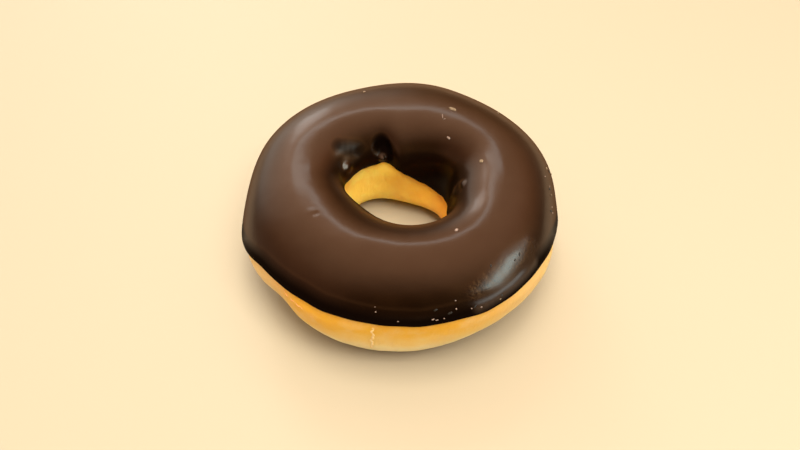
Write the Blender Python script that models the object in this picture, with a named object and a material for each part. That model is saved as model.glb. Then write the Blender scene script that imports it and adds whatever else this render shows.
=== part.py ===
"""A raised ring doughnut with a chocolate coat.

Two solids share one ring form. The dough is the whole ring. The coat is a skin that follows the top
of the ring, from an edge on the outer side, over the crest, to an edge down inside the hole.

Every point of the ring is named by two angles. "turn" goes round the hole, counted from +X towards
+Y. "around" goes round the ring's section: 0 is the outermost line, 90 degrees is the crest, 180 is
the inside of the hole and 270 is the underside.
"""

import math

import bpy

MM = 0.001

# Driving dimensions of the ring
OUTER_RADIUS = 42.8 * MM
HOLE_RADIUS = 13.8 * MM
DOUGH_HEIGHT = 32.6 * MM
WAIST_HEIGHT = 18.2 * MM  # height of the widest line and of the hole's narrowest
CREST_SHARE = 0.45  # where the crest lies, from the hole (0) to the outside (1)
UPPER_FULLNESS = 2.2  # 2 is an ellipse, more is squarer
LOWER_FULLNESS = 2.5
FOOT_SINK = 1.0 * MM  # how far the weight has flattened the underside
OUTER_TUCK = 1.1 * MM  # how far the lower half draws in on the outer side
INNER_BULGE = 2.0 * MM  # how far the lower half stands out into the hole

# Driving dimensions of the coat
COAT_THICKNESS = 1.2 * MM
COAT_NOSE = 2.0 * MM  # the length over which its edge rounds off
COAT_GAP = 0.3 * MM  # clearance that keeps the two solids apart
OUTER_EDGE_HEIGHT = 17.4 * MM
INNER_EDGE_HEIGHT = 19.3 * MM

# Slow waves once round the ring: how many crests, how deep, and where the first one points (degrees)
OUTLINE_WAVES = ((2, 1.1 * MM, 1), (3, 0.4 * MM, -25), (4, 0.3 * MM, 34), (5, 0.45 * MM, 14))
HOLE_WAVES = ((1, 1.3 * MM, 27), (2, 2.5 * MM, -15), (3, 1.0 * MM, 20))
OUTER_TUCK_WAVES = ((1, 1.2 * MM, 201), (2, 1.8 * MM, -8), (3, 1.3 * MM, -37))
INNER_BULGE_WAVES = ((1, 1.8 * MM, 15), (2, 1.8 * MM, 7))
OUTER_EDGE_WAVES = (
    (1, 6.2 * MM, -81),
    (2, 2.2 * MM, 69),
    (3, 3.1 * MM, -40),
    (4, 1.6 * MM, -28),
    (5, 0.7 * MM, -7),
)
INNER_EDGE_WAVES = ((1, 3.9 * MM, -173), (2, 2.0 * MM, -65), (3, 1.7 * MM, -35))

# Swells and hollows pushed out of the smooth ring: turn, around, push, and the two spreads (degrees)
OUTSIDE_SWELLS = (
    (140, 35, 1.0 * MM, 24, 35),
    (47, 35, 0.7 * MM, 18, 35),
    (176, 10, -0.6 * MM, 12, 35),
    (354, 8, -1.0 * MM, 12, 30),
    (78, 30, 1.1 * MM, 14, 35),
    (192, 0, 0.2 * MM, 10, 35),
    (250, -5, 0.6 * MM, 16, 30),
    (330, -5, 0.7 * MM, 14, 30),
    (198, -20, 2.7 * MM, 11, 16),  # the belly that stands out under the coat's edge on the left
    (347, -21, 3.0 * MM, 15, 16),  # and on the right
    (221, -25, -1.9 * MM, 6, 25),  # a pinch low on the side, where the lower half steps out
    (318, -30, -0.7 * MM, 18, 25),
)
HOLE_SWELLS = (
    (168, 180, -1.5 * MM, 14, 40),
    (135, 175, -0.9 * MM, 30, 25),
    (107, 148, -1.2 * MM, 6, 18),  # a fold that runs down into the hole
    (92, 160, 1.6 * MM, 12, 30),  # the lobe beside the fold
    (40, 170, -1.0 * MM, 14, 30),
    (358, 178, 2.8 * MM, 15, 40),
    (112, 218, 0.4 * MM, 26, 13),
    (55, 225, -0.5 * MM, 28, 25),
)

# Facets
TURN_SEGMENTS = 96
COAT_TOP_SEGMENTS = 24
COVERED_SEGMENTS = 12  # the coat's underside, and the dough beneath it
BARE_SEGMENTS = 20  # the dough that shows
EDGE_CROWDING = 0.7  # how much closer the facets lie at the coat's edges

COLLECTION_NAME = "chocolate_glazed_doughnut"
HALF_TURN = math.pi


def waves(turn, rows):
    """The sum of slow waves at this turn."""
    return sum(deep * math.cos(count * (turn - math.radians(toward))) for count, deep, toward in rows)


def hump(angle, centre, spread):
    """1 at the centre, falling smoothly to nearly 0 beyond the spread. All in radians."""
    return math.exp((math.cos(angle - centre) - 1) / spread**2)


def swell(turn, around):
    """How far the skin is pushed out at this point by all the swells and hollows."""
    push = 0.0
    for at_turn, at_around, deep, turn_spread, around_spread in OUTSIDE_SWELLS + HOLE_SWELLS:
        beside = hump(turn, math.radians(at_turn), math.radians(turn_spread))
        above = hump(around, math.radians(at_around), math.radians(around_spread))
        push += deep * beside * above
    return push


def signed_power(value, power):
    return math.copysign(abs(value) ** power, value)


def smooth_section(turn, around):
    """Distance from the axis and height on the smooth ring, before swells."""
    outside = OUTER_RADIUS + waves(turn, OUTLINE_WAVES)
    hole = HOLE_RADIUS + waves(turn, HOLE_WAVES)
    crest = hole + (outside - hole) * CREST_SHARE
    across = math.cos(around)
    rise = math.sin(around)
    fullness = UPPER_FULLNESS if rise > 0 else LOWER_FULLNESS
    reach = outside - crest if across > 0 else crest - hole
    drop = DOUGH_HEIGHT - WAIST_HEIGHT if rise > 0 else WAIST_HEIGHT + FOOT_SINK
    if rise > 0:
        inward = 0.0
    elif across > 0:
        inward = OUTER_TUCK + waves(turn, OUTER_TUCK_WAVES)
    else:
        inward = INNER_BULGE + waves(turn, INNER_BULGE_WAVES)
    return (
        crest + reach * signed_power(across, 2 / fullness) - inward * math.sin(2 * around) ** 2,
        WAIST_HEIGHT + drop * signed_power(rise, 2 / fullness),
    )


def section(turn, around, proud=0.0):
    """Distance from the axis and height, with swells, and moved out of the skin by "proud"."""
    step = math.radians(0.5)
    before = smooth_section(turn, around - step)
    after = smooth_section(turn, around + step)
    length = math.hypot(after[0] - before[0], after[1] - before[1])
    out = ((after[1] - before[1]) / length, (before[0] - after[0]) / length)
    here = smooth_section(turn, around)
    push = swell(turn, around) + proud
    return here[0] + out[0] * push, max(here[1] + out[1] * push, 0.0)


def around_at(height):
    """The angle on the ring's outer side at which the smooth ring has this height."""
    above = height > WAIST_HEIGHT
    drop = DOUGH_HEIGHT - WAIST_HEIGHT if above else WAIST_HEIGHT + FOOT_SINK
    fullness = UPPER_FULLNESS if above else LOWER_FULLNESS
    return math.asin(signed_power((height - WAIST_HEIGHT) / drop, fullness / 2))


def coat_edges(turn):
    """The angles around the section of the coat's outer edge and its inner edge."""
    outer = around_at(OUTER_EDGE_HEIGHT + waves(turn, OUTER_EDGE_WAVES))
    inner = HALF_TURN - around_at(INNER_EDGE_HEIGHT + waves(turn, INNER_EDGE_WAVES))
    return outer, inner


def crowded(share):
    """Spreads 0 to 1 so that the steps are shorter at both ends."""
    eased = (1 - math.cos(math.pi * share)) / 2
    return share + (eased - share) * EDGE_CROWDING


def nose(turn, share, edges):
    """The coat's thickness, as a share: rounded off to nothing at its two edges."""
    outer, inner = edges
    edge = outer if share < 0.5 else inner
    here = section(turn, outer + (inner - outer) * share)
    there = section(turn, edge)
    from_edge = math.hypot(here[0] - there[0], here[1] - there[1]) / COAT_NOSE
    return 1.0 if from_edge >= 1 else math.sqrt(1 - (1 - from_edge) ** 2)


def in_space(turn, point):
    return point[0] * math.cos(turn), point[0] * math.sin(turn), point[1]


def dough_point(turn, step):
    """Steps first cover the dough beneath the coat, from edge to edge, then go on round the underside."""
    outer, inner = coat_edges(turn)
    if step <= COVERED_SEGMENTS:
        around = outer + (inner - outer) * crowded(step / COVERED_SEGMENTS)
    else:
        share = (step - COVERED_SEGMENTS) / BARE_SEGMENTS
        around = inner + (outer + 2 * HALF_TURN - inner) * share
    return in_space(turn, section(turn, around))


def coat_point(turn, step):
    """Steps first cross the coat's top, from edge to edge, then come back along its underside."""
    edges = coat_edges(turn)
    on_top = step <= COAT_TOP_SEGMENTS
    if on_top:
        share = crowded(step / COAT_TOP_SEGMENTS)
    else:
        share = crowded(1 - (step - COAT_TOP_SEGMENTS) / COVERED_SEGMENTS)
    thickness = COAT_THICKNESS * nose(turn, share, edges) if on_top else 0.0
    around = edges[0] + (edges[1] - edges[0]) * share
    return in_space(turn, section(turn, around, COAT_GAP + thickness))


def add_ring(name, steps, point_of, material, collection):
    """A torus of this many steps around its section, each point then moved to where point_of puts it."""
    major, minor = 0.03, 0.01
    bpy.ops.mesh.primitive_torus_add(
        major_segments=TURN_SEGMENTS, minor_segments=steps, major_radius=major, minor_radius=minor
    )
    ring = bpy.context.object
    ring.name = name
    for vertex in ring.data.vertices:
        x, y, z = vertex.co
        around = math.atan2(z, math.hypot(x, y) - major) % (2 * math.pi)
        step = round(around / (2 * math.pi) * steps) % steps
        vertex.co = point_of(math.atan2(y, x), step)
    ring.data.shade_smooth()
    ring.data.materials.append(material)
    for other in ring.users_collection:
        other.objects.unlink(ring)
    collection.objects.link(ring)
    return ring


def finish(name, colour, roughness):
    material = bpy.data.materials.new(name)
    material.use_nodes = True
    shader = material.node_tree.nodes["Principled BSDF"]
    shader.inputs["Base Color"].default_value = (*colour, 1)
    shader.inputs["Roughness"].default_value = roughness
    shader.inputs["Metallic"].default_value = 0
    return material


def stand_on_origin(objects):
    """Puts the middle of the whole at the axes' origin, seen from above. It already stands at height 0."""
    corners = [v.co for o in objects for v in o.data.vertices]
    middle = [(min(c[i] for c in corners) + max(c[i] for c in corners)) / 2 for i in (0, 1)]
    for o in objects:
        for vertex in o.data.vertices:
            vertex.co.x -= middle[0]
            vertex.co.y -= middle[1]


def main():
    for old in list(bpy.data.objects):
        bpy.data.objects.remove(old)
    doughnut = bpy.data.collections.new(COLLECTION_NAME)
    bpy.context.scene.collection.children.link(doughnut)
    crust = finish("fried_crust", (0.80, 0.42, 0.10), 0.45)
    chocolate = finish("chocolate", (0.06, 0.025, 0.014), 0.25)
    dough = add_ring(
        "dough_ring", COVERED_SEGMENTS + BARE_SEGMENTS, dough_point, crust, doughnut
    )
    coat = add_ring(
        "chocolate_coat", COAT_TOP_SEGMENTS + COVERED_SEGMENTS, coat_point, chocolate, doughnut
    )
    stand_on_origin((dough, coat))


main()
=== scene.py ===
# %% [markdown]
# # A chocolate glazed ring doughnut
# A raised doughnut is a ring of light yeast dough. It is fried on both sides, then its top is dipped
# in melted chocolate. This lesson makes both layers with Geometry Nodes, then their finishes.
# It starts from the packed model, whose two solids say where the dough and the coat have to be.

import math

import bpy
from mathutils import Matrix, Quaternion, Vector


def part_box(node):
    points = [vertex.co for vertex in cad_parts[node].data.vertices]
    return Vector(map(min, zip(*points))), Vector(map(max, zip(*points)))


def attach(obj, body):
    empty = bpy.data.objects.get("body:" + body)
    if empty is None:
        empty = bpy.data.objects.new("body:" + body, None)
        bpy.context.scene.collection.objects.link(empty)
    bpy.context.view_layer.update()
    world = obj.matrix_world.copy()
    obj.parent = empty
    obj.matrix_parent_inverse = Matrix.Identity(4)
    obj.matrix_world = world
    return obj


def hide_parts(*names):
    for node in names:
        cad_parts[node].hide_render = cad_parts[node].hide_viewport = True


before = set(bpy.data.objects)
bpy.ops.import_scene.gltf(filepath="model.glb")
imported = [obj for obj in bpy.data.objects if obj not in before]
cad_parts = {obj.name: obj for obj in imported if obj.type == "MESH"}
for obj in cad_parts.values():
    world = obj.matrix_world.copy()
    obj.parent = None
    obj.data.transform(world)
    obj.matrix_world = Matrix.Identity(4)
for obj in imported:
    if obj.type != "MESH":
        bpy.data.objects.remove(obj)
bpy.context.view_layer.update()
scene = bpy.context.scene
MM = 0.001

# %% [markdown]
# ## The camera
# The photograph looks down on the doughnut from the front. How flat the ring looks gives the
# camera's pitch, and how much smaller its far side looks gives the distance. A point of the surface
# can later be named by the pixel where the camera sees it, because the picture's frame is known.

# %% Camera
IMAGE_WIDE = 800
IMAGE_TALL = 450
FOCAL_PIXELS = 685
SENSOR_WIDE = 36.0
CAMERA_PLACE = Vector((-0.46, -122.26, 176.86)) * MM
CAMERA_PITCH = math.radians(54.2)  # below the horizon, looking along +Y

lens = bpy.data.cameras.new("camera")
lens.sensor_width = SENSOR_WIDE
lens.lens = FOCAL_PIXELS / IMAGE_WIDE * SENSOR_WIDE
lens.clip_start = 0.01
camera = bpy.data.objects.new("camera", lens)
camera.location = CAMERA_PLACE
camera.rotation_euler = (math.pi / 2 - CAMERA_PITCH, 0, 0)
scene.collection.objects.link(camera)
scene.camera = camera


def sight_line(x, y):
    """The direction in which the camera sees this pixel of the picture."""
    ahead = Vector((0, math.cos(CAMERA_PITCH), -math.sin(CAMERA_PITCH)))
    up = Vector((0, math.sin(CAMERA_PITCH), math.cos(CAMERA_PITCH)))
    right = Vector((1, 0, 0))
    across = (x - IMAGE_WIDE / 2) / FOCAL_PIXELS
    rise = (IMAGE_TALL / 2 - y) / FOCAL_PIXELS
    return (ahead + right * across + up * rise).normalized()


print("lens, mm:", round(lens.lens, 2))

# %% [markdown]
# ## Writing node trees as sums
# Both the shapes and the finishes come from node trees. Joining nodes by hand takes many lines, so a
# small class wraps a socket and lets Python's own signs add the Math nodes: `1 - mask` is one.


# %% Sockets in sums
class Value:
    """A socket that can be used in sums."""

    def __init__(self, tree, socket):
        self.tree = tree
        self.socket = socket

    def other(self, output):
        """Another output of the same node."""
        return Value(self.tree, self.socket.node.outputs[output])

    def math(self, operation, *others):
        return self.tree.math(operation, self, *others)

    def __add__(self, other):
        return self.tree.math("ADD", self, other)

    def __radd__(self, other):
        return self.tree.math("ADD", other, self)

    def __sub__(self, other):
        return self.tree.math("SUBTRACT", self, other)

    def __rsub__(self, other):
        return self.tree.math("SUBTRACT", other, self)

    def __mul__(self, other):
        return self.tree.math("MULTIPLY", self, other)

    def __rmul__(self, other):
        return self.tree.math("MULTIPLY", other, self)

    def __truediv__(self, other):
        return self.tree.math("DIVIDE", self, other)

    def __pow__(self, other):
        return self.tree.math("POWER", self, other)


print(Value.__name__, "turns Python's signs into Math nodes")

# %% [markdown]
# ## A tree that adds its own nodes
# The second class adds any node from its type, its settings and its sockets. The noises, blends and
# smooth steps that come up again and again have methods of their own.


# %% The tree class
class Tree:
    """Adds nodes to a node tree."""

    def __init__(self, tree):
        self.tree = tree

    def add(self, kind, settings=None, sockets=None, output=0):
        """A new node's output. Its settings come first, because they can change its sockets."""
        node = self.tree.nodes.new(kind)
        for name, setting in (settings or {}).items():
            if name == "stops":
                self.set_stops(node.color_ramp, setting)
            else:
                setattr(node, name, setting)
        for name, source in (sockets or {}).items():
            self.join(source, node.inputs[name])
        return Value(self, node.outputs[output])

    def join(self, source, socket):
        """Links a value to a socket, or writes a plain number, colour or thing into it."""
        if isinstance(source, Value):
            self.tree.links.new(source.socket, socket)
        else:
            socket.default_value = source

    def set_stops(self, ramp, stops):
        """Gives a colour ramp these stops, each a place and a colour."""
        while len(ramp.elements) < len(stops):
            ramp.elements.new(1.0)
        for element, (place, colour) in zip(ramp.elements, stops):
            element.position = place
            element.color = (*colour, 1)

    def math(self, operation, *values):
        return self.add("ShaderNodeMath", {"operation": operation}, dict(enumerate(values)))

    def vector(self, operation, *values, output=0):
        return self.add("ShaderNodeVectorMath", {"operation": operation}, dict(enumerate(values)), output)

    def point(self, x, y, z):
        return self.add("ShaderNodeCombineXYZ", None, {0: x, 1: y, 2: z})

    def parts(self, vector):
        """The three numbers of a vector."""
        x = self.add("ShaderNodeSeparateXYZ", None, {0: vector})
        return x, x.other(1), x.other(2)

    def noise(self, place, size, detail=2.0, output=0):
        """Soft random values from 0 to 1, with lumps about this many metres across."""
        sockets = {"Vector": place, "Scale": 1 / size, "Detail": detail}
        return self.add("ShaderNodeTexNoise", None, sockets, output)

    def blend(self, factor, first, second):
        """A colour between two colours."""
        sockets = {0: factor, 6: colour_of(first), 7: colour_of(second)}
        return self.add("ShaderNodeMix", {"data_type": "RGBA"}, sockets, 2)

    def eased(self, value, low, high):
        """0 below low, 1 above high, and a smooth step between."""
        sockets = {"Value": value, "From Min": low, "From Max": high}
        return self.add("ShaderNodeMapRange", {"interpolation_type": "SMOOTHSTEP"}, sockets)


def colour_of(colour):
    return colour if isinstance(colour, Value) else (*colour, 1)


def pick(condition, first, second):
    """The first where the condition is 1, the second where it is 0."""
    return condition * first + (1 - condition) * second


print(Tree.__name__, "adds:", [name for name in vars(Tree) if not name.startswith("_")])

# %% [markdown]
# ## The ring's rule
# Every point of the ring is named by two angles. The turn goes round the hole. The angle around goes
# round the ring's section: 0 is the outermost line, a quarter is the crest, a half is the inside of
# the hole. Slow waves make the ring uneven, and swells and hollows push its skin in and out, as
# proving and frying do. The sizes are the solids' own, apart from ripples, dips and slight swells.

# %% Sizes of the ring
RING_SIZES = {
    "Outer Radius": 42.8 * MM,
    "Hole Radius": 13.8 * MM,
    "Dough Height": 32.6 * MM,
    "Waist Height": 18.2 * MM,
}
CREST_SHARE = 0.45
UPPER_FULLNESS = 2.2
LOWER_FULLNESS = 2.5
FOOT_SINK = 1.0 * MM
OUTER_TUCK = 1.1 * MM
INNER_BULGE = 2.0 * MM
COAT_THICKNESS = 1.5 * MM  # from the dough's skin to the coat's, with the gap between the solids
COAT_NOSE = 2.0 * MM
OUTER_EDGE_HEIGHT = 17.4 * MM
INNER_EDGE_HEIGHT = 19.3 * MM

# Waves once round the ring: how many crests, how deep, and where the first one points (degrees)
OUTLINE_WAVES = ((2, 1.1 * MM, 1), (3, 0.4 * MM, -25), (4, 0.3 * MM, 34), (5, 0.45 * MM, 14))
HOLE_WAVES = ((1, 1.3 * MM, 27), (2, 2.5 * MM, -15), (3, 1.0 * MM, 20))
OUTER_TUCK_WAVES = ((1, 1.2 * MM, 201), (2, 1.8 * MM, -8), (3, 1.3 * MM, -37))
INNER_BULGE_WAVES = ((1, 1.8 * MM, 15), (2, 1.8 * MM, 7))
OUTER_EDGE_WAVES = (
    (1, 6.2 * MM, -81),
    (2, 2.2 * MM, 69),
    (3, 3.1 * MM, -40),
    (4, 1.6 * MM, -28),
    (5, 0.7 * MM, -7),
)
INNER_EDGE_WAVES = ((1, 3.9 * MM, -173), (2, 2.0 * MM, -65), (3, 1.7 * MM, -35))
EDGE_RIPPLES = ((9, 0.12 * MM, 10), (13, 0.10 * MM, 40), (19, 0.08 * MM, 5), (31, 0.05 * MM, 3))

# Where the coat's outer edge hangs lower: turn, drop and spread
EDGE_DIPS = ((322, -0.55 * MM, 22), (200, -0.6 * MM, 8))

# Swells and hollows: turn, around, push, and the two spreads (degrees)
SWELLS = (
    (140, 35, 1.0 * MM, 24, 35),
    (47, 35, 0.7 * MM, 18, 35),
    (176, 10, -0.6 * MM, 12, 35),
    (354, 8, -1.0 * MM, 12, 30),
    (78, 30, 1.1 * MM, 14, 35),
    (192, 0, 0.2 * MM, 10, 35),
    (250, -5, 0.6 * MM, 16, 30),
    (330, -5, 0.7 * MM, 14, 30),
    (198, -20, 2.7 * MM, 11, 16),  # the belly under the coat's edge on the left
    (347, -21, 3.0 * MM, 15, 16),  # and on the right
    (221, -25, -1.9 * MM, 6, 25),  # the pinch low on the side
    (318, -30, -0.7 * MM, 18, 25),
    (204, -24, -1.4 * MM, 8, 16),  # not in the solids: the belly has sagged in here,
    (203, 6, 0.55 * MM, 7, 18),  # and the side swells slightly here
    (320, -6, 0.5 * MM, 16, 32),  # and here
    (168, 180, -1.5 * MM, 14, 40),
    (135, 175, -0.9 * MM, 30, 25),
    (107, 148, -1.2 * MM, 6, 18),
    (92, 160, 1.6 * MM, 12, 30),
    (40, 170, -1.0 * MM, 14, 30),
    (358, 178, 2.8 * MM, 15, 40),
    (112, 218, 0.4 * MM, 26, 13),
    (55, 225, -0.5 * MM, 28, 25),
)


def wave(turn, count, deep, toward):
    """A cosine with this many crests round the ring, the first at this angle (degrees)."""
    return deep * ((turn - math.radians(toward)) * count).math("COSINE")


def waves(turn, rows):
    return sum(wave(turn, *row) for row in rows)


def hump(angle, centre, spread):
    """1 at the centre, falling smoothly to nearly 0 beyond the spread (degrees)."""
    fall = ((angle - math.radians(centre)).math("COSINE") - 1) / math.radians(spread) ** 2
    return fall.math("EXPONENT")


def signed_power(value, power):
    return value.math("SIGN") * value.math("ABSOLUTE") ** power


print(len(SWELLS), "swells and hollows")

# %% [markdown]
# ## A node group for the section
# A node group can be used again and again, like a function. This one takes the two angles and says
# how far from the axis and how high the skin is there. Two near points on the smooth section give
# the direction out of the skin, along which the swells push.


# %% The section group
NEAR_STEP = math.radians(0.5)  # from a point to each of the two near points


def new_group(name, inputs, outputs):
    """A new Geometry Nodes group, and its inputs by name."""
    kinds = {float: "NodeSocketFloat", int: "NodeSocketInt", str: "NodeSocketGeometry"}
    group = bpy.data.node_groups.new(name, "GeometryNodeTree")
    for label, start in inputs.items():
        socket = group.interface.new_socket(label, in_out="INPUT", socket_type=kinds[type(start)])
        if not isinstance(start, str):
            socket.default_value = start
    for label, kind in outputs.items():
        group.interface.new_socket(label, in_out="OUTPUT", socket_type=kinds[kind])
    tree = Tree(group)
    entry = group.nodes.new("NodeGroupInput")
    return tree, {label: Value(tree, entry.outputs[label]) for label in inputs}


def close_group(tree, results):
    """Joins the results to the group's output."""
    leaving = tree.tree.nodes.new("NodeGroupOutput")
    for label, result in results.items():
        tree.join(result, leaving.inputs[label])


def smooth_section(turn, around, size):
    """Distance from the axis and height on the smooth ring, before swells."""
    outside = size["Outer Radius"] + waves(turn, OUTLINE_WAVES)
    hole = size["Hole Radius"] + waves(turn, HOLE_WAVES)
    crest = hole + (outside - hole) * CREST_SHARE
    across = around.math("COSINE")
    rise = around.math("SINE")
    is_above = rise.math("GREATER_THAN", 0)
    is_outer = across.math("GREATER_THAN", 0)
    power = pick(is_above, 2 / UPPER_FULLNESS, 2 / LOWER_FULLNESS)
    reach = pick(is_outer, outside - crest, crest - hole)
    drop = pick(is_above, size["Dough Height"] - size["Waist Height"], size["Waist Height"] + FOOT_SINK)
    tuck = OUTER_TUCK + waves(turn, OUTER_TUCK_WAVES)
    bulge = INNER_BULGE + waves(turn, INNER_BULGE_WAVES)
    inward = (1 - is_above) * pick(is_outer, tuck, bulge) * (around * 2).math("SINE") ** 2
    distance = crest + reach * signed_power(across, power) - inward
    return distance, size["Waist Height"] + drop * signed_power(rise, power)


def make_section_group():
    angles = {"Turn": 0.0, "Around": 0.0, "Proud": 0.0}
    tree, size = new_group("ring section", {**angles, **RING_SIZES}, {"Distance": float, "Height": float})
    turn = size["Turn"]
    around = size["Around"]
    before = smooth_section(turn, around - NEAR_STEP, size)
    after = smooth_section(turn, around + NEAR_STEP, size)
    here = smooth_section(turn, around, size)
    over = after[0] - before[0]
    up = after[1] - before[1]
    length = (over * over + up * up).math("SQRT")
    push = size["Proud"]
    for at_turn, at_around, deep, turn_spread, around_spread in SWELLS:
        push = push + deep * hump(turn, at_turn, turn_spread) * hump(around, at_around, around_spread)
    distance = here[0] + up / length * push
    height = (here[1] - over / length * push).math("MAXIMUM", 0)
    close_group(tree, {"Distance": distance, "Height": height})
    return tree.tree


section_group = make_section_group()
print("section group:", len(section_group.nodes), "nodes")

# %% [markdown]
# ## Weaving a skin on the rule
# A flat grid has one corner for each pair of angles. Moving every corner to the place that the rule
# gives wraps the grid into a ring, and merging the corners that then meet closes its two seams. The
# dough's grid goes all round the section. The coat's grid first crosses its top from edge to edge
# and then comes back underneath, a little inside the dough, so that no gap shows.


# %% A ring skin
GRID_COUNTS = {"Turns": 480, "Steps": 190}
SEAM_REACH = 2e-6  # corners nearer to each other than this are merged


class Ring:
    """A ring skin in the making: its tree, its named inputs and the two angles of each corner."""

    def __init__(self, name, more_inputs):
        place = {"Middle X": 0.0, "Middle Y": 0.0}
        inputs = {"Geometry": "", **GRID_COUNTS, **RING_SIZES, **place, **more_inputs}
        self.tree, self.size = new_group(name, inputs, {"Geometry": str})
        sockets = {
            "Size X": 1.0,
            "Size Y": 1.0,
            "Vertices X": self.size["Turns"] + 1,
            "Vertices Y": self.size["Steps"] + 1,
        }
        self.grid = self.tree.add("GeometryNodeMeshGrid", None, sockets)
        x, y, _ = self.tree.parts(self.tree.add("GeometryNodeInputPosition"))
        self.turn = (x + 0.5) * (2 * math.pi)
        self.share = y + 0.5

    def section(self, around, proud):
        """Distance and height of the skin at an angle around, moved out by proud."""
        shared = {label: self.size[label] for label in RING_SIZES}
        sockets = {"Turn": self.turn, "Around": around, "Proud": proud, **shared}
        distance = self.tree.add("GeometryNodeGroup", {"node_tree": section_group}, sockets)
        return distance, distance.other(1)

    def around_at(self, height):
        """The angle around at which the ring's outer side has this height."""
        waist = self.size["Waist Height"]
        is_above = height.math("GREATER_THAN", waist)
        drop = pick(is_above, self.size["Dough Height"] - waist, waist + FOOT_SINK)
        power = pick(is_above, UPPER_FULLNESS / 2, LOWER_FULLNESS / 2)
        return signed_power((height - waist) / drop, power).math("ARCSINE")

    def edges(self, ripple):
        """The angles around of the coat's outer and inner edges."""
        dips = sum(drop * hump(self.turn, at_turn, spread) for at_turn, drop, spread in EDGE_DIPS)
        outer = OUTER_EDGE_HEIGHT + waves(self.turn, OUTER_EDGE_WAVES) + dips + ripple
        inner = INNER_EDGE_HEIGHT + waves(self.turn, INNER_EDGE_WAVES) - ripple
        return self.around_at(outer), math.pi - self.around_at(inner)

    def wrapped(self, distance, height):
        """The grid's mesh with each corner at its place, seams closed."""
        x = distance * self.turn.math("COSINE") + self.size["Middle X"]
        y = distance * self.turn.math("SINE") + self.size["Middle Y"]
        place = self.tree.point(x, y, height)
        moved = self.tree.add("GeometryNodeSetPosition", None, {"Geometry": self.grid, "Position": place})
        return self.tree.add("GeometryNodeMergeByDistance", None, {"Geometry": moved, "Distance": SEAM_REACH})


print("a skin's grid:", GRID_COUNTS)

# %% [markdown]
# ## From tree to plain mesh
# These steps serve every tree: soft noise pushes a skin in and out, a number is kept at each corner
# for later, and the end makes real meshes and sets their material. An object then wears the tree as
# a modifier, and its result becomes a plain mesh.


# %% Steps that the trees share
def soft_noise(tree, place, lump, high, detail=1):
    """Heights in metres, half of them below 0, with lumps about this many metres across."""
    return (tree.noise(place, lump, detail) - 0.5) * high


def pushed_out(tree, mesh, relief):
    """The mesh with its skin moved along its own normals."""
    sockets = {0: tree.add("GeometryNodeInputNormal"), "Scale": relief}
    offset = tree.add("ShaderNodeVectorMath", {"operation": "SCALE"}, sockets)
    return tree.add("GeometryNodeSetPosition", None, {"Geometry": mesh, "Offset": offset})


def kept(tree, mesh, name, value):
    """Stores a number at every corner, for later steps and for the material to read."""
    sockets = {"Geometry": mesh, "Name": name, "Value": value}
    return tree.add("GeometryNodeStoreNamedAttribute", {"data_type": "FLOAT", "domain": "POINT"}, sockets)


def recalled(tree, name, kind="FLOAT"):
    """What is stored at every corner under this name."""
    return tree.add("GeometryNodeInputNamedAttribute", {"data_type": kind}, {"Name": name})


def smoothed(tree, mesh):
    return tree.add("GeometryNodeSetShadeSmooth", None, {"Geometry": mesh})


def end_tree(tree, mesh, material):
    """Real meshes with their material leave the tree."""
    real = tree.add("GeometryNodeRealizeInstances", None, {"Geometry": mesh})
    finished = tree.add("GeometryNodeSetMaterial", None, {"Geometry": real, "Material": material})
    close_group(tree, {"Geometry": finished})
    return tree.tree


def made_from(name, tree, mesh=None, **sizes):
    """An object with the plain mesh that the tree makes."""
    made = bpy.data.objects.new(name, mesh or bpy.data.meshes.new(name))
    scene.collection.objects.link(made)
    modifier = made.modifiers.new(name, "NODES")
    modifier.node_group = tree
    for item in tree.interface.items_tree:
        if item.in_out == "INPUT" and item.name in sizes:
            modifier[item.identifier] = sizes[item.name]
    graph = bpy.context.evaluated_depsgraph_get()
    plain = bpy.data.meshes.new_from_object(
        made.evaluated_get(graph), preserve_all_data_layers=True, depsgraph=graph
    )
    made.modifiers.remove(modifier)
    made.data = plain
    plain.name = name
    return made


print("plain meshes can be made")

# %% [markdown]
# ## Materials before shapes
# A tree ends in Set Material, so the materials exist first and are filled in later.

# %% Empty materials
crust_finish = bpy.data.materials.new("golden_crust")
chocolate_finish = bpy.data.materials.new("dipped_chocolate")
print("materials:", crust_finish.name, chocolate_finish.name)

# %% [markdown]
# ## The coat
# Chocolate leaves a skin of even thickness that rounds off over its last two millimetres. The edge
# runs in slow waves with finer ripples, where the melted chocolate crept and set. A plain coat comes
# first: where its middle lies, against the solid coat's, says where the ring's axis has to be.


# %% The coat's tree
TOP_STEPS = 156
EDGE_CROWDING = 0.7
UNDER_COAT = -0.3 * MM  # the coat's underside, inside the dough
RIM_WIDE = 7 * MM  # the band along the coat's edges where the finish turns matt and dark, painted shade
RIPPLE_ROOM = 0.16 * MM  # left under the solid's skin for ripples that stand out
COAT_RELIEF = ((13 * MM, 0.16 * MM), (3.5 * MM, 0.04 * MM))  # size and height of its lumps


def crowded(share):
    """Spreads 0 to 1 so that the steps are shorter at both ends."""
    eased = 0.5 - (share * math.pi).math("COSINE") * 0.5
    return share + (eased - share) * EDGE_CROWDING


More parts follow.
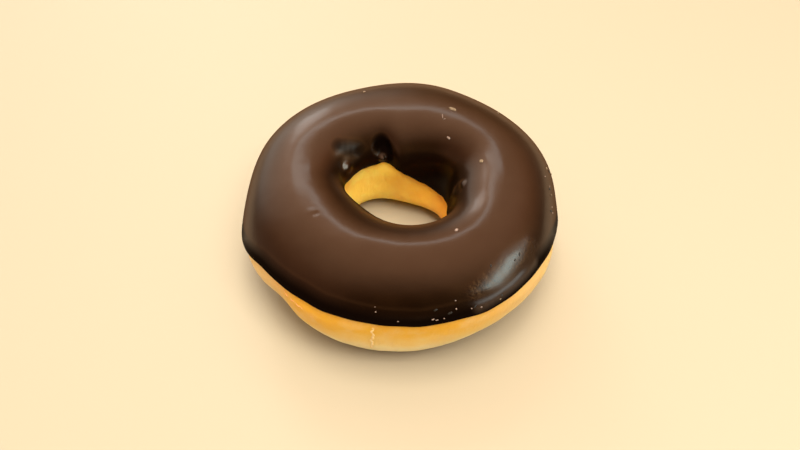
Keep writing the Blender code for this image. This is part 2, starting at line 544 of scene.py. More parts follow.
def make_coat_tree():
    ring = Ring("chocolate coat", {"Top Steps": TOP_STEPS, "Coat Thickness": COAT_THICKNESS, "Ripple": 1.0})
    size = ring.size
    step = ring.share * size["Steps"]
    top_share = step / size["Top Steps"]
    is_top = top_share.math("LESS_THAN", 1.0001)
    under_share = (size["Steps"] - step) / (size["Steps"] - size["Top Steps"])
    share = crowded(pick(is_top, top_share, under_share))
    outer, inner = ring.edges(waves(ring.turn, EDGE_RIPPLES) * size["Ripple"])
    around = outer + (inner - outer) * share
    edge = pick(share.math("LESS_THAN", 0.5), outer, inner)
    here = ring.section(around, 0.0)
    there = ring.section(edge, 0.0)
    over = here[0] - there[0]
    up = here[1] - there[1]
    from_edge = (over * over + up * up).math("SQRT")
    nearness = 1 - (from_edge / COAT_NOSE).math("MINIMUM", 1)
    rounding = (1 - nearness ** 2).math("MAXIMUM", 0).math("SQRT")
    full = size["Coat Thickness"] - UNDER_COAT - RIPPLE_ROOM
    rim = 1 - (from_edge / RIM_WIDE).math("MINIMUM", 1)
    ring.grid = kept(ring.tree, ring.grid, "edge", rounding)
    ring.grid = kept(ring.tree, ring.grid, "rim", rim)
    mesh = ring.wrapped(*ring.section(around, UNDER_COAT + full * rounding * is_top))
    place = ring.tree.add("GeometryNodeInputPosition")
    slow, quick = [soft_noise(ring.tree, place, *row) for row in COAT_RELIEF]
    away_from_edge = recalled(ring.tree, "edge") ** 4
    mesh = pushed_out(ring.tree, mesh, (slow + quick) * away_from_edge * size["Ripple"])
    return end_tree(ring.tree, smoothed(ring.tree, mesh), chocolate_finish)


coat_tree = make_coat_tree()
plain_coat = made_from("plain_coat", coat_tree, Ripple=0.0)
plain_points = [vertex.co for vertex in plain_coat.data.vertices]
coat_low, coat_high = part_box("chocolate_coat")


def middle_shift(axis):
    """From the plain coat's middle to the solid coat's middle, seen from above."""
    spread = [point[axis] for point in plain_points]
    return (coat_low[axis] + coat_high[axis]) / 2 - (min(spread) + max(spread)) / 2


MIDDLE = {"Middle X": middle_shift(0), "Middle Y": middle_shift(1)}
bpy.data.objects.remove(plain_coat)
coat = made_from("chocolate_glaze", coat_tree, **MIDDLE)
print("ring's axis, mm:", {label: round(value / MM, 3) for label, value in MIDDLE.items()})
print("coat faces:", len(coat.data.polygons))

# %% [markdown]
# ## Marks in the chocolate
# Set chocolate keeps what happened to it: a fold at the back of the hole with a bubble in it, a
# small dent on the left, beads at the hole's edge, and wrinkles where the shoulder cooled first.
# Every mark is named by the pixel where it is seen, and a ray from the camera finds its place on the
# coat. Lines of pixels say where the chocolate set shinier, and where painted shade darkens it, which
# the finish reads later.


# %% Dents, beads, bubbles and streaks
def place_at(piece, x, y):
    """The point and the normal of the piece where the camera sees this pixel."""
    hit, point, normal, _ = piece.ray_cast(CAMERA_PLACE, sight_line(x, y))
    if not hit:
        raise ValueError(f"no surface at {x}, {y}")
    return point, normal


# Pixel, width and depth (mm; a negative depth is a hollow)
COAT_MARKS = {
    "fold": (382.4, 148.0, 3.6, -1.0),
    "bubble": (382.2, 157.8, 1.5, 1.1),
    "dent": (315.5, 213.5, 1.0, -0.13),
    "dent brow": (311.0, 211.5, 1.8, 0.05),
    "bead left of hole": (350.0, 171.0, 5.4, 0.8),
    "gleam left of hole": (346.5, 167.5, 2.2, 0.45),
    "bead at the back left": (366.0, 163.0, 5.5, 0.35),
    "gleam right of hole": (462.0, 183.5, 1.8, 0.35),
    "dimple right of hole": (458.0, 189.0, 2.4, -0.25),
}
BUBBLE_SHINE = 1.3  # how far the bubble's shine reaches, against the bubble's width

# Lines of pixels
STREAK_LINE = ((474.0, 292.0), (505.0, 267.0), (520.0, 257.0), (530.0, 244.0))
EDGE_STREAK_LINE = (
    (480.0, 306.0), (497.0, 296.0), (505.0, 290.0),
    (514.0, 283.0), (524.0, 273.5), (533.0, 262.0),
)
GLEAM_LINE = ((338.0, 158.0), (348.0, 167.0))
RIGHT_GLEAM_LINE = ((454.0, 190.0), (463.0, 182.0))
SHADE_LINE = ((381.0, 142.0), (382.0, 147.0), (388.0, 156.0))  # the fold's own shadow
SHADE_PATCH_LINE = ((340.0, 147.0), (356.0, 149.0))  # painted shade that darkens a patch above the left gleam

STREAK_WIDE = 3.5 * MM
SHINY_LINES = (  # line and how wide
    (EDGE_STREAK_LINE, 0.8 * STREAK_WIDE),
    (GLEAM_LINE, 0.9 * STREAK_WIDE),
    (RIGHT_GLEAM_LINE, 0.8 * STREAK_WIDE),
)
# Lines where painted shade darkens the chocolate
PAINTED_SHADE_LINES = (  # line, how wide and how strong
    (SHADE_LINE, 1.1 * STREAK_WIDE, 1.0),
    (SHADE_PATCH_LINE, 1.25 * STREAK_WIDE, 0.58),
)
LINE_SHARES = (0.0, 0.33, 0.67, 1.0)  # where along each stretch of a line its shapes are put


def bump_shape(tree, place, centre, wide):
    """1 at the centre, falling smoothly to 0 at this distance."""
    far = tree.vector("DISTANCE", place, centre, output="Value") / wide
    return (1 - far * far).math("MAXIMUM", 0) ** 2


def strongest(shapes):
    """The greatest of these values at each point."""
    most = shapes[0]
    for shape in shapes[1:]:
        most = most.math("MAXIMUM", shape)
    return most


def along_line(tree, place, pixels, wide):
    """1 on the line through these pixels of the coat, falling to 0 at this distance from it."""
    corners = [place_at(coat, x, y)[0] for x, y in pixels]
    stretches = zip(corners, corners[1:])
    centres = [start.lerp(end, share) for start, end in stretches for share in LINE_SHARES]
    return strongest([bump_shape(tree, place, centre, wide) for centre in centres])


def make_marks_tree():
    tree, size = new_group("chocolate marks", {"Geometry": "", "Depth": 1.0}, {"Geometry": str})
    place = tree.add("GeometryNodeInputPosition")
    relief = 0
    for x, y, wide, deep in COAT_MARKS.values():
        centre, _ = place_at(coat, x, y)
        relief = relief + deep * MM * bump_shape(tree, place, centre, wide * MM)
    bubble_x, bubble_y, bubble_wide, _ = COAT_MARKS["bubble"]
    bubble_centre, _ = place_at(coat, bubble_x, bubble_y)
    shiny = [along_line(tree, place, line, wide) for line, wide in SHINY_LINES]
    shiny.append(bump_shape(tree, place, bubble_centre, BUBBLE_SHINE * bubble_wide * MM))
    # Painted shade along the fold's shadow and on the patch above the left gleam
    dull = [along_line(tree, place, line, wide) * strength for line, wide, strength in PAINTED_SHADE_LINES]
    mesh = kept(tree, size["Geometry"], "streak", along_line(tree, place, STREAK_LINE, STREAK_WIDE))
    mesh = kept(tree, mesh, "shiny", strongest(shiny))
    mesh = kept(tree, mesh, "dull", strongest(dull))
    mesh = pushed_out(tree, mesh, relief * size["Depth"])
    return end_tree(tree, mesh, chocolate_finish)


smooth_coat = coat
coat = made_from("chocolate_glaze", make_marks_tree(), coat.data)
bpy.data.objects.remove(smooth_coat)
coat.name = "chocolate_glaze"
print("on", coat.name, "are", len(COAT_MARKS), "marks and", 1 + len(SHINY_LINES) + len(PAINTED_SHADE_LINES), "lines")

# %% [markdown]
# ## The dough
# The fried skin is soft and slightly uneven. Its relief fades out at the foot, which lies flat.


# %% The dough's tree
FLAT_FOOT = 3 * MM  # the relief fades out below this height
SLOW_DOUGH = (9 * MM, 0.5 * MM, 1)  # size and height of its lumps, and how much detail they have
QUICK_DOUGH = (2.2 * MM, 0.12 * MM, 2)


def make_dough_tree():
    ring = Ring("fried dough", {"Ripple": 1.0})
    mesh = ring.wrapped(*ring.section(ring.share * (2 * math.pi), 0.0))
    place = ring.tree.add("GeometryNodeInputPosition")
    height = ring.tree.parts(place)[2]
    clear_of_foot = ring.tree.eased(height, 0.0, FLAT_FOOT)
    slow = soft_noise(ring.tree, place, *SLOW_DOUGH)
    quick = soft_noise(ring.tree, place, *QUICK_DOUGH)
    mesh = pushed_out(ring.tree, mesh, (slow + quick) * clear_of_foot * ring.size["Ripple"])
    return end_tree(ring.tree, smoothed(ring.tree, mesh), crust_finish)


dough = made_from("fried_dough", make_dough_tree(), **MIDDLE)
print("dough faces:", len(dough.data.polygons))

# %% [markdown]
# ## Creases on the dough
# A thread of sugar ran down the front of the dough and set there, and the pinch on the left left a
# fine seam. Both are curves laid on the dough and given a round section of uneven thickness.


# %% Threads laid on the dough
SUGAR_THREAD = (
    (373.0, 327.5), (372.0, 331.0), (372.6, 336.0),
    (371.4, 340.0), (372.2, 344.0), (371.2, 347.0),
)
SEAM_THREAD = ((283.0, 289.5), (287.0, 295.0), (292.0, 300.0), (297.0, 304.5), (302.0, 308.5))
SUGAR_THICK = 0.55 * MM
SEAM_THICK = 0.26 * MM
SWAY = (1.6 * MM, 0.2 * MM, 1.0 * MM)  # how far a thread strays from its line, in x, y and z
SWAY_LUMP = 1.1 * MM
UNEVEN_LUMP = 0.9 * MM
SKIN_LUMP = 0.4 * MM
SKIN_RELIEF = 0.9  # against the thread's thickness


def line_on(piece, pixels):
    """A mesh line through the places on the piece where these pixels are seen."""
    corners = [place_at(piece, x, y)[0] for x, y in pixels]
    mesh = bpy.data.meshes.new("line")
    mesh.from_pydata(corners, [(i, i + 1) for i in range(len(corners) - 1)], [])
    return mesh


def make_thread_tree(name, material, thickness):
    inputs = {"Geometry": "", "Points": 48, "Thickness": thickness, "Unevenness": 1.3}
    tree, size = new_group(name, inputs, {"Geometry": str})
    path = tree.add("GeometryNodeMeshToCurve", None, {0: size["Geometry"]})
    even = tree.add("GeometryNodeResampleCurve", None, {"Curve": path, "Count": size["Points"]})
    place = tree.add("GeometryNodeInputPosition")
    sway = tree.vector("SUBTRACT", tree.noise(place, SWAY_LUMP, 2, 1), (0.5, 0.5, 0.5))
    aside = tree.vector("MULTIPLY", sway, SWAY)
    swaying = tree.add("GeometryNodeSetPosition", None, {"Geometry": even, "Offset": aside})
    uneven = 1 + (tree.noise(place, UNEVEN_LUMP, 2) - 0.5) * 2 * size["Unevenness"]
    sized = {
        "Curve": swaying,
        "Profile Curve": tree.add("GeometryNodeCurvePrimitiveCircle", None, {"Resolution": 8, "Radius": 1.0}),
        "Scale": uneven * size["Thickness"] * 0.5,
        "Fill Caps": True,
    }
    tube = tree.add("GeometryNodeCurveToMesh", None, sized)
    rough = pushed_out(tree, tube, soft_noise(tree, place, SKIN_LUMP, size["Thickness"]) * SKIN_RELIEF)
    return end_tree(tree, smoothed(tree, rough), material)


sugar_finish = bpy.data.materials.new("set_sugar")
seam_finish = bpy.data.materials.new("pinched_seam")
sugar_tree = make_thread_tree("sugar thread", sugar_finish, SUGAR_THICK)
seam_tree = make_thread_tree("dough seam", seam_finish, SEAM_THICK)
threads = [
    made_from("sugar_thread", sugar_tree, line_on(dough, SUGAR_THREAD)),
    made_from("dough_seam", seam_tree, line_on(dough, SEAM_THREAD)),
]
print("threads:", {piece.name: len(piece.data.polygons) for piece in threads})

# %% [markdown]
# ## Crumbs, grains and flecks
# Small bits have fallen on the chocolate: tan crumbs, pale grains with two thin fibres among them,
# and dark flecks near the rim. A list says where each is seen and how big it is. Instances put one
# rough pebble on every spot, turned to stand on the skin, and noise makes each pebble different.


# %% Rough pebbles on the chocolate
TAN_CRUMBS = (  # pixel, length, width, height (mm) and turn (degrees)
    (452.5, 109.0, 2.4, 1.1, 0.5, 10),
    (481.3, 161.2, 1.3, 1.1, 0.5, 0),
    (500.7, 298.8, 0.5, 0.35, 0.3, 0),
    (498.0, 113.3, 0.9, 0.5, 0.4, 70),
    (364.0, 92.0, 0.7, 0.5, 0.5, 0),
    (546.5, 168.5, 0.8, 0.5, 0.4, 30),
    (551.0, 174.2, 0.7, 0.4, 0.4, 100),
    (551.0, 195.0, 0.6, 0.4, 0.4, 80),
)
PALE_GRAINS = (
    (448.5, 138.0, 1.1, 0.7, 0.5, -20),
    (456.5, 230.0, 1.2, 0.8, 0.4, 20),
    (442.5, 116.0, 1.7, 0.25, 0.25, 100),
    (444.5, 119.0, 0.9, 0.2, 0.2, 40),
    (364.5, 91.8, 0.7, 0.5, 0.4, 0),
    (375.0, 307.0, 0.4, 0.3, 0.3, 0),
    (375.5, 312.0, 0.4, 0.3, 0.3, 0),
    (398.0, 321.5, 0.5, 0.35, 0.3, 0),
    (433.0, 319.5, 0.8, 0.4, 0.4, 20),
    (437.0, 320.0, 0.7, 0.3, 0.3, 10),
    (444.0, 318.5, 0.4, 0.3, 0.3, 0),
    (455.4, 300.5, 0.4, 0.3, 0.3, 0),
    (456.4, 309.0, 0.4, 0.4, 0.3, 0),
    (471.7, 308.5, 0.4, 0.3, 0.3, 0),
    (481.5, 307.0, 0.5, 0.35, 0.3, 0),
    (545.0, 176.5, 0.4, 0.3, 0.3, 0),
    (549.5, 186.5, 0.5, 0.3, 0.3, 0),
    (552.0, 207.0, 0.4, 0.3, 0.3, 0),
    (552.5, 213.0, 0.4, 0.3, 0.3, 0),
)
DARK_FLECKS = (
    (490.8, 265.6, 1.0, 0.45, 0.3, 60),
    (515.0, 260.0, 0.9, 0.4, 0.3, 30),
    (519.5, 254.0, 0.9, 0.4, 0.3, 50),
    (501.7, 295.0, 0.6, 0.5, 0.3, 0),
    (549.0, 171.5, 1.0, 0.7, 0.4, 80),
    (549.5, 189.0, 0.9, 0.6, 0.4, 90),
    (551.0, 211.0, 0.9, 0.6, 0.4, 90),
    (435.5, 310.0, 1.2, 0.5, 0.3, 20),
    (450.0, 313.0, 1.4, 0.5, 0.3, 15),
    (475.0, 306.5, 1.0, 0.4, 0.3, 30),
)
SUNK_SHARE = 0.45  # how much of a pebble's height lies under the skin
PEBBLE_LUMP = 0.45 * MM


def spots_on(piece, rows):
    """A mesh with one corner for each row, which carries the pebble's size and how it stands."""
    mesh = bpy.data.meshes.new("spots")
    mesh.from_pydata([(0, 0, 0)] * len(rows), [], [])
    size = mesh.attributes.new("size", "FLOAT_VECTOR", "POINT")
    stand = mesh.attributes.new("stand", "FLOAT_VECTOR", "POINT")
    for index, (x, y, length, width, height, turn) in enumerate(rows):
        point, normal = place_at(piece, x, y)
        spin = Quaternion((0, 0, 1), math.radians(turn))
        mesh.vertices[index].co = point + normal * height * MM * (0.5 - SUNK_SHARE)
        size.data[index].vector = (length * MM, width * MM, height * MM)
        stand.data[index].vector = (normal.to_track_quat("Z", "Y") @ spin).to_euler()
    return mesh


def make_pebble_tree(name, material, roughness):
    inputs = {"Geometry": "", "Fineness": 3, "Roughness": roughness, "Seed": 0.0}
    tree, size = new_group(name, inputs, {"Geometry": str})
    stand = recalled(tree, "stand", "FLOAT_VECTOR")
    round_ball = {"Radius": 0.5, "Subdivisions": size["Fineness"]}
    placed = {
        "Points": size["Geometry"],
        "Instance": tree.add("GeometryNodeMeshIcoSphere", None, round_ball),
        "Rotation": tree.add("FunctionNodeEulerToRotation", None, {0: stand}),
        "Scale": recalled(tree, "size", "FLOAT_VECTOR"),
    }
    many = tree.add("GeometryNodeInstanceOnPoints", None, placed)
    real = tree.add("GeometryNodeRealizeInstances", None, {"Geometry": many})
    place = tree.vector("ADD", tree.add("GeometryNodeInputPosition"), tree.point(size["Seed"], 0, 0))
    rough = pushed_out(tree, real, soft_noise(tree, place, PEBBLE_LUMP, size["Roughness"], 2))
    return end_tree(tree, rough, material)


crumb_finish = bpy.data.materials.new("tan_crumb")
grain_finish = bpy.data.materials.new("pale_grain")
fleck_finish = bpy.data.materials.new("dark_fleck")
loose = []
for name, rows, finish, roughness in (
    ("tan_crumbs", TAN_CRUMBS, crumb_finish, 0.35 * MM),
    ("pale_grains", PALE_GRAINS, grain_finish, 0.30 * MM),
    ("dark_flecks", DARK_FLECKS, fleck_finish, 0.35 * MM),
):
    pebble_tree = make_pebble_tree(name, finish, roughness)
    loose.append(made_from(name, pebble_tree, spots_on(coat, rows), Seed=float(len(rows))))
print("pebbles:", {piece.name: len(piece.data.polygons) for piece in loose})

# %% [markdown]
# ## The dough's finish
# Fried dough is golden where it met the oil longest, and pale low down and along its sides. The
# colour goes by height on the outside, and the darkest colour at the very foot is painted shadow
# where the dough meets the floor. Inside the hole it is deeper, with painted light that makes it
# brighter and yellower on the left, and painted shade that makes it browner at the foot and low on
# the right.


# %% Crust material
OUTSIDE_STOPS = (  # colours from the foot up to CRUST_TALL
    # The first stop, darker, is painted shadow where the dough meets the floor
    (0.0, (0.68, 0.38, 0.10)),
    (0.12, (0.86, 0.72, 0.44)),
    (0.42, (0.86, 0.71, 0.36)),
    (0.60, (0.82, 0.56, 0.15)),
    (0.82, (0.77, 0.42, 0.018)),
    (1.0, (0.76, 0.38, 0.010)),
)
CRUST_TALL = 22 * MM
PALE_CRUST = (0.78, 0.61, 0.33)
HOLE_GOLD = (0.99, 0.70, 0.10)
HOLE_BROWN = (0.95, 0.54, 0.05)
# Painted shade low on the right and at the foot of the hole, and painted light on its left
HOLE_SHADE_LOW_RIGHT = (0.80, 0.33, 0.03)
HOLE_LIT_YELLOW = (1.0, 0.82, 0.17)
HOLE_FOOT_SHADOW = (0.72, 0.25, 0.04)
PATCH_LUMP = 7 * MM  # the size of patches in the colour
CRUST_WRINKLES = (1.6 * MM, 0.25 * MM)  # size and depth
CRUST_GRAIN = (0.7 * MM, 0.08 * MM)


def new_finish(material, settings):
    """The material's tree, its shader node and the place on the piece. Settings are the uniform values."""
    material.use_nodes = True
    tree = Tree(material.node_tree)
    shader = material.node_tree.nodes["Principled BSDF"]
    for name, setting in settings.items():
        shader.inputs[name].default_value = setting
    return tree, shader, tree.add("ShaderNodeTexCoord", None, None, "Object")


def bumped(tree, height, depth, onto=None):
    """A normal from a height of 0 to 1 that stands for this depth in metres, on top of another normal."""
    sockets = {"Strength": 1.0, "Distance": depth, "Height": height}
    if onto:
        sockets["Normal"] = onto
    return tree.add("ShaderNodeBump", None, sockets)


def hole_colour(tree, place, patch, level):
    """The colour of the dough's wall in the hole, with painted light on the left and painted shade low on the
    right and at the foot.
    """
    x, _, height = tree.parts(place)
    browned = tree.eased(patch + height / (40 * MM), 0.55, 1.0)
    shade_low_right = tree.eased(x, 3 * MM, 14 * MM) * (1 - tree.eased(level, 9 * MM, 17 * MM))
    lit_yellow_left = tree.eased(0 - x, -3 * MM, 8 * MM) * (0.3 + tree.eased(patch, 0.42, 0.62) * 0.6)
    foot_shadow = (1 - tree.eased(height, 0.5 * MM, 4 * MM)) * 0.7
    colour = tree.blend(browned, HOLE_GOLD, HOLE_BROWN)
    colour = tree.blend(shade_low_right * 0.8, colour, HOLE_SHADE_LOW_RIGHT)
    colour = tree.blend(lit_yellow_left, colour, HOLE_LIT_YELLOW)
    return tree.blend(foot_shadow, colour, HOLE_FOOT_SHADOW)


def finish_crust():
    uniform = {
        "Roughness": 0.5,
        "Subsurface Weight": 0.3,
        "Subsurface Radius": (1.0, 0.6, 0.2),
        "Subsurface Scale": 2.5 * MM,
    }
    tree, shader, place = new_finish(crust_finish, uniform)
    x, y, height = tree.parts(place)
    patch = tree.noise(place, PATCH_LUMP, 3)
    level = height + (patch - 0.5) * (6 * MM)
    outside = tree.add("ShaderNodeValToRGB", {"stops": OUTSIDE_STOPS}, {0: level / CRUST_TALL})
    from_axis = (x * x + y * y).math("SQRT") + (patch - 0.5) * (3 * MM)
    in_hole = 1 - tree.eased(from_axis, 15 * MM, 24 * MM)
    fried = tree.blend(in_hole, outside, hole_colour(tree, place, patch, level))
    creamy = tree.eased(tree.noise(place, 6 * MM, 4), 0.45, 0.8) * 0.35
    pale_right = tree.eased(x + (patch - 0.5) * (14 * MM), 12 * MM, 36 * MM) * 0.45
    pale_left = tree.eased(0 - x, 26 * MM, 38 * MM) * 0.5
    pale = strongest([creamy, pale_right, pale_left]) * (1 - in_hole)
    tree.join(tree.blend(pale, fried, PALE_CRUST), shader.inputs["Base Color"])
    tall = tree.point(x, y, height * 0.4)  # draws the wrinkles out upwards
    grain_lump, grain_depth = CRUST_GRAIN
    wrinkle_lump, wrinkle_depth = CRUST_WRINKLES
    grain = bumped(tree, tree.noise(place, grain_lump, 3), grain_depth)
    wrinkled = bumped(tree, tree.noise(tall, wrinkle_lump, 4), wrinkle_depth, grain)
    tree.join(wrinkled, shader.inputs["Normal"])


finish_crust()
print("crust nodes:", len(crust_finish.node_tree.nodes))

# %% [markdown]
# ## The chocolate's finish
# Dipped chocolate is nearly black, with a satin brown sheen from its fat and a thin gloss on top.
# Along its rim, most at the front, down in the hole and along two lines, a second shader without
# gloss is mixed in, nearly black: painted shade. At grazing angles the same shader takes over in a
# lighter brown, a painted sheen. The streaks and gleams stay shiny, and the wrinkled streak is
# creased by a bump.


# %% Chocolate material
DEEP_TONE = (0.002, 0.0009, 0.0004)
WARM_TONE = (0.006, 0.0026, 0.001)
# The matt shader's colours: a lighter brown for a painted sheen at grazing angles, and near black for painted
# shade
GRAZING_SHEEN_BROWN = (0.055, 0.026, 0.011)
SHADE_BLACK = (0.0025, 0.0012, 0.0007)
MOTTLE_LUMP = 5 * MM
CREASES = (0.5 * MM, 0.30 * MM)  # size and depth
CHOCOLATE_GRAIN = (0.6 * MM, 0.010 * MM)


def matt_shader(tree, colour):
    """A second shader in the same finish without gloss, whose colour paints shade and a sheen at grazing
    angles.
    """
    sockets = {"Base Color": colour, "Roughness": 0.8, "Specular IOR Level": 0.0}
    return tree.add("ShaderNodeBsdfPrincipled", None, sockets)


def read_back(tree, name):
    """The number that the shape's tree kept at each corner."""
    return tree.add("ShaderNodeAttribute", {"attribute_name": name}, None, "Fac")


def crease_normal(tree, place, streak):
    """Fine grain everywhere, and creases where the wrinkled streak is."""
    x, y, z = tree.parts(place)
    along = tree.point(x * 0.35 + y * 0.5, y * 0.35 - x * 0.5, z)  # turned to the streak's direction
    crease_lump, crease_depth = CREASES
    grain_lump, grain_depth = CHOCOLATE_GRAIN
    fine = bumped(tree, tree.noise(place, grain_lump, 2), grain_depth)
    return bumped(tree, tree.noise(along, crease_lump, 3) * streak, crease_depth, fine)


def matt_painted_shade(tree, place, shiny):
    """1 where the finish turns matt and nearly black, painted shade: on the rim, most at the front, in the
    hole and along the painted shade lines.
    """
    x, y, z = tree.parts(place)
    from_axis = (x * x + y * y).math("SQRT")
    # Painted shade down in the hole, and along the rim, more at the front
    in_hole = (1 - tree.eased(from_axis, 13 * MM, 21 * MM)) * (1 - tree.eased(z, 23 * MM, 31 * MM))
    darker_at_front = 0.35 + tree.eased(0 - y, 5 * MM, 24 * MM) * 0.65
    rim_shade = tree.eased(read_back(tree, "rim"), 0.08, 0.65) * darker_at_front
    dull = tree.eased(read_back(tree, "dull"), 0.0, 0.75)
    return strongest([rim_shade, in_hole * 0.9, dull]) * (1 - shiny)


def finish_chocolate():
    uniform = {
        "Specular IOR Level": 0.37,
        "Specular Tint": (1.0, 0.36, 0.10, 1),
        "Coat Roughness": 0.17,
        "Coat IOR": 1.42,
    }
    tree, shader, place = new_finish(chocolate_finish, uniform)
    mottle = tree.noise(place, MOTTLE_LUMP, 3)
    facing = tree.add("ShaderNodeLayerWeight", None, {"Blend": 0.5}, "Facing")
    slant = facing ** 3
    streak = read_back(tree, "streak")
    shiny = read_back(tree, "shiny")
    gloss = (0.36 + (mottle - 0.5) * 0.08 + streak * 0.3 + shiny * 0.3) * (1 - slant)
    tree.join(tree.blend(mottle, DEEP_TONE, WARM_TONE), shader.inputs["Base Color"])
    tree.join(0.34 + (mottle - 0.5) * 0.10 + slant * 0.3, shader.inputs["Roughness"])
    tree.join(gloss, shader.inputs["Coat Weight"])
    tree.join(crease_normal(tree, place, streak), shader.inputs["Normal"])
    painted_shade_share = matt_painted_shade(tree, place, shiny)
    # At grazing angles the matt shader's lighter brown takes over from the gloss: a painted sheen
    grazing_sheen = tree.eased(facing, 0.42, 0.9) * 0.8
    # Where the painted shade is strong, the matt shader is nearly black
    matt = matt_shader(tree, tree.blend(tree.eased(painted_shade_share, 0.0, 0.3), GRAZING_SHEEN_BROWN, SHADE_BLACK))
    share = strongest([painted_shade_share * 0.96, grazing_sheen])
    both = tree.add("ShaderNodeMixShader", None, {0: share, 1: Value(tree, shader.outputs[0]), 2: matt})
    surface = chocolate_finish.node_tree.nodes["Material Output"].inputs["Surface"]
    tree.join(both, surface)


finish_chocolate()
print("chocolate nodes:", len(chocolate_finish.node_tree.nodes))

# %% [markdown]
# ## The bits' finishes
# A crumb is toasted and matt, a grain is pale and catches the light, a fleck is chocolate, and the
# two threads are set sugar and browned dough. One recipe with different colours makes all five.


# %% Crumb, grain, fleck and thread materials
BIT_MOTTLE = 0.6 * MM
BIT_GRAIN = (0.15 * MM, 0.03 * MM)  # size and depth
BIT_FINISHES = (  # material, pale colour, deep colour and roughness
    (crumb_finish, (0.22, 0.16, 0.10), (0.09, 0.06, 0.035), 0.7),
    (grain_finish, (0.26, 0.19, 0.155), (0.11, 0.07, 0.055), 0.45),
    (fleck_finish, (0.008, 0.004, 0.002), (0.002, 0.001, 0.0006), 0.5),
    (sugar_finish, (0.88, 0.70, 0.38), (0.86, 0.56, 0.18), 0.4),
    (seam_finish, (0.82, 0.46, 0.20), (0.74, 0.34, 0.12), 0.6),
)


def finish_bits(material, pale, deep, roughness):
    tree, shader, place = new_finish(material, {"Roughness": roughness})
    mottle = tree.eased(tree.noise(place, BIT_MOTTLE, 3), 0.3, 0.7)
    grain_lump, grain_depth = BIT_GRAIN
    tree.join(tree.blend(mottle, deep, pale), shader.inputs["Base Color"])
    tree.join(bumped(tree, tree.noise(place, grain_lump, 3), grain_depth), shader.inputs["Normal"])


for row in BIT_FINISHES:
    finish_bits(*row)
print(len(BIT_FINISHES), "more finishes")

# %% [markdown]
# ## The floor
# A plain pale floor catches the soft shadow at the foot.


# %% Floor
FLOOR_HALF = 4.0  # metres, from its middle to each side
FLOOR_COLOUR = (0.33, 0.29, 0.22, 1)
FLOOR_ROUGHNESS = 0.6

floor_corners = [(x * FLOOR_HALF, y * FLOOR_HALF, 0) for x, y in ((-1, -1), (1, -1), (1, 1), (-1, 1))]
floor_mesh = bpy.data.meshes.new("floor")
floor_mesh.from_pydata(floor_corners, [], [(0, 1, 2, 3)])
floor = bpy.data.objects.new("floor", floor_mesh)
scene.collection.objects.link(floor)
floor_finish = bpy.data.materials.new("pale_floor")
floor_finish.use_nodes = True
floor_shader = floor_finish.node_tree.nodes["Principled BSDF"]
floor_shader.inputs["Base Color"].default_value = FLOOR_COLOUR
floor_shader.inputs["Roughness"].default_value = FLOOR_ROUGHNESS
floor_mesh.materials.append(floor_finish)
print("floor, m:", 2 * FLOOR_HALF)

# %% [markdown]
# ## The room
# Most of the light comes softly from above and behind, so the world is brighter there, and warmer
# towards the horizon. A haze at the back left and two faint glows at the sides show as reflections.


# %% World
ABOVE = Vector((0.1, 0.45, 0.89))
LOW_TINT = (2.8, 1.38, 0.45)
HIGH_TINT = (2.75, 2.25, 1.65)
DARKEST = 0.02
BLACK = (0, 0, 0)
HAZE = (Vector((-0.53, 0.76, 0.38)), 0.80, 0.99, (1.95, 1.95, 1.75))  # toward, start, full, colour
LEFT_GLOW = (Vector((-0.90, -0.32, 0.30)), 0.5, 1.0, (0.6, 0.4, 0.28))
RIGHT_GLOW = (Vector((0.69, 0.50, 0.53)), 0.8, 1.0, (0.4, 0.22, 0.15))


def nearness_to(tree, toward, direction):
    """1 straight in this direction, 0 at right angles to it."""
    return tree.vector("DOT_PRODUCT", toward, direction, output="Value")


def soft_patch(tree, toward, direction, start, full, colour):
    """Light that grows from the start of the patch to its full colour."""
    near = nearness_to(tree, toward, direction)
    return tree.blend(tree.eased(near, start, full), BLACK, colour)


def add_world():
    world = bpy.data.worlds.new("soft_room")
    scene.world = world
    world.use_nodes = True
    tree = Tree(world.node_tree)
    toward = tree.add("ShaderNodeTexCoord", None, None, "Generated")
    above = nearness_to(tree, toward, ABOVE)
    height = tree.parts(toward)[2]
    strength = above.math("MAXIMUM", 0) ** 2.0 * tree.eased(height, -0.1, 1.0) + DARKEST
    tint = tree.blend(tree.eased(height, 0.3, 0.95), LOW_TINT, HIGH_TINT)
    dome = tree.blend(strength, BLACK, tint)
    haze, left, right = [soft_patch(tree, toward, *row) for row in (HAZE, LEFT_GLOW, RIGHT_GLOW)]
    sides = tree.vector("ADD", left, right)
    colour = tree.vector("ADD", tree.vector("ADD", dome, haze), sides)
    tree.join(colour, world.node_tree.nodes["Background"].inputs["Color"])
    print("world nodes:", len(world.node_tree.nodes))


add_world()

# %% [markdown]
# ## Soft boxes
# A long soft box behind draws the bright line along the crest, and one at the right front draws the
# streak on the coat's shoulder. The ones at the right front only show as reflections, so that they
# don't wash out the dough. The fills light the dough and the floor, and are not mirrored.


# %% Lights
BOX_DISTANCE = 0.8  # metres from the middle of the floor

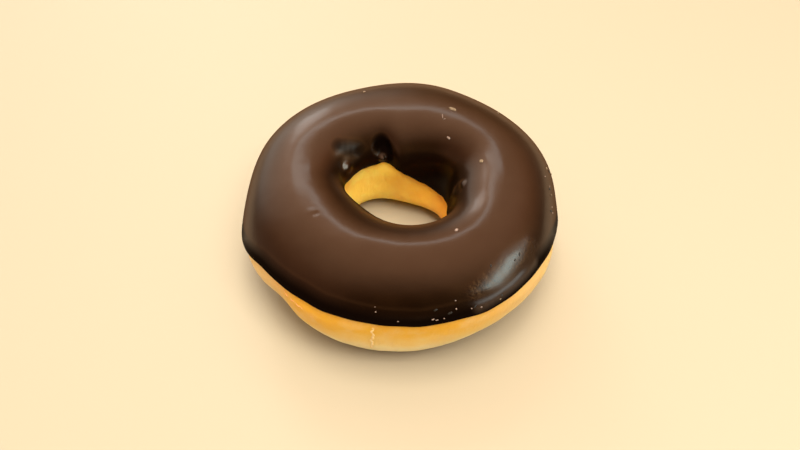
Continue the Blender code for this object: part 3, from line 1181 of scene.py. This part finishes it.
# Name, azimuth (from +X towards +Y), elevation, width, height and roll (degrees), radiance, colour
WINDOWS = (
    ("back_strip", 97, 49.5, 24, 4.5, 0, 9.0, (0.78, 0.95, 1.0)),
    ("back_window", 112, 31, 13, 20, 0, 6.0, (0.85, 0.97, 1.0)),
)
ONLY_MIRRORED = (
    ("front_right_window", 337, 33, 33, 12, 26, 9.5, (0.70, 0.97, 0.96)),
    ("front_right_haze", 339, 34, 44, 26, 26, 2.6, (0.75, 0.97, 0.97)),
    ("low_right_glow", 325, 8, 40, 7, 0, 5.0, (0.72, 0.95, 1.0)),
)
FILLS = (
    ("overhead_fill", 90, 88, 22, 22, 0, 20.0, (1.0, 0.93, 0.80)),
    ("hole_fill", 312, 66, 26, 26, 0, 13.5, (1.0, 0.93, 0.80)),
    ("front_fill", 268, 24, 40, 20, 0, 1.2, (1.0, 0.95, 0.84)),
)


def add_softbox(row, mirrored=True, lights_up=True):
    """A rectangular light that faces the doughnut."""
    name, azimuth, elevation, wide, tall, roll, radiance, colour = row
    light = bpy.data.lights.new(name, "AREA")
    light.shape = "RECTANGLE"
    light.size = 2 * BOX_DISTANCE * math.tan(math.radians(wide / 2))
    light.size_y = 2 * BOX_DISTANCE * math.tan(math.radians(tall / 2))
    light.energy = radiance * math.pi * light.size * light.size_y
    light.color = colour
    turn = math.radians(azimuth)
    rise = math.radians(elevation)
    toward = Vector((math.cos(turn) * math.cos(rise), math.sin(turn) * math.cos(rise), math.sin(rise)))
    box = bpy.data.objects.new(name, light)
    box.location = toward * BOX_DISTANCE
    facing = toward.to_track_quat("Z", "Y")
    box.rotation_euler = (facing @ Quaternion((0, 0, 1), math.radians(roll))).to_euler()
    box.visible_glossy = mirrored
    box.visible_diffuse = lights_up
    scene.collection.objects.link(box)


for row in WINDOWS:
    add_softbox(row)
for row in ONLY_MIRRORED:
    add_softbox(row, lights_up=False)
for row in FILLS:
    add_softbox(row, mirrored=False)
scene.view_settings.view_transform = "Standard"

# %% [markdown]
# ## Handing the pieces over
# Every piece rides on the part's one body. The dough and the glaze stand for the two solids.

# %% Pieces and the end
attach(dough, "root")
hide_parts("dough_ring")
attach(coat, "root")
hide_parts("chocolate_coat")
for piece in loose + threads:
    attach(piece, "root")
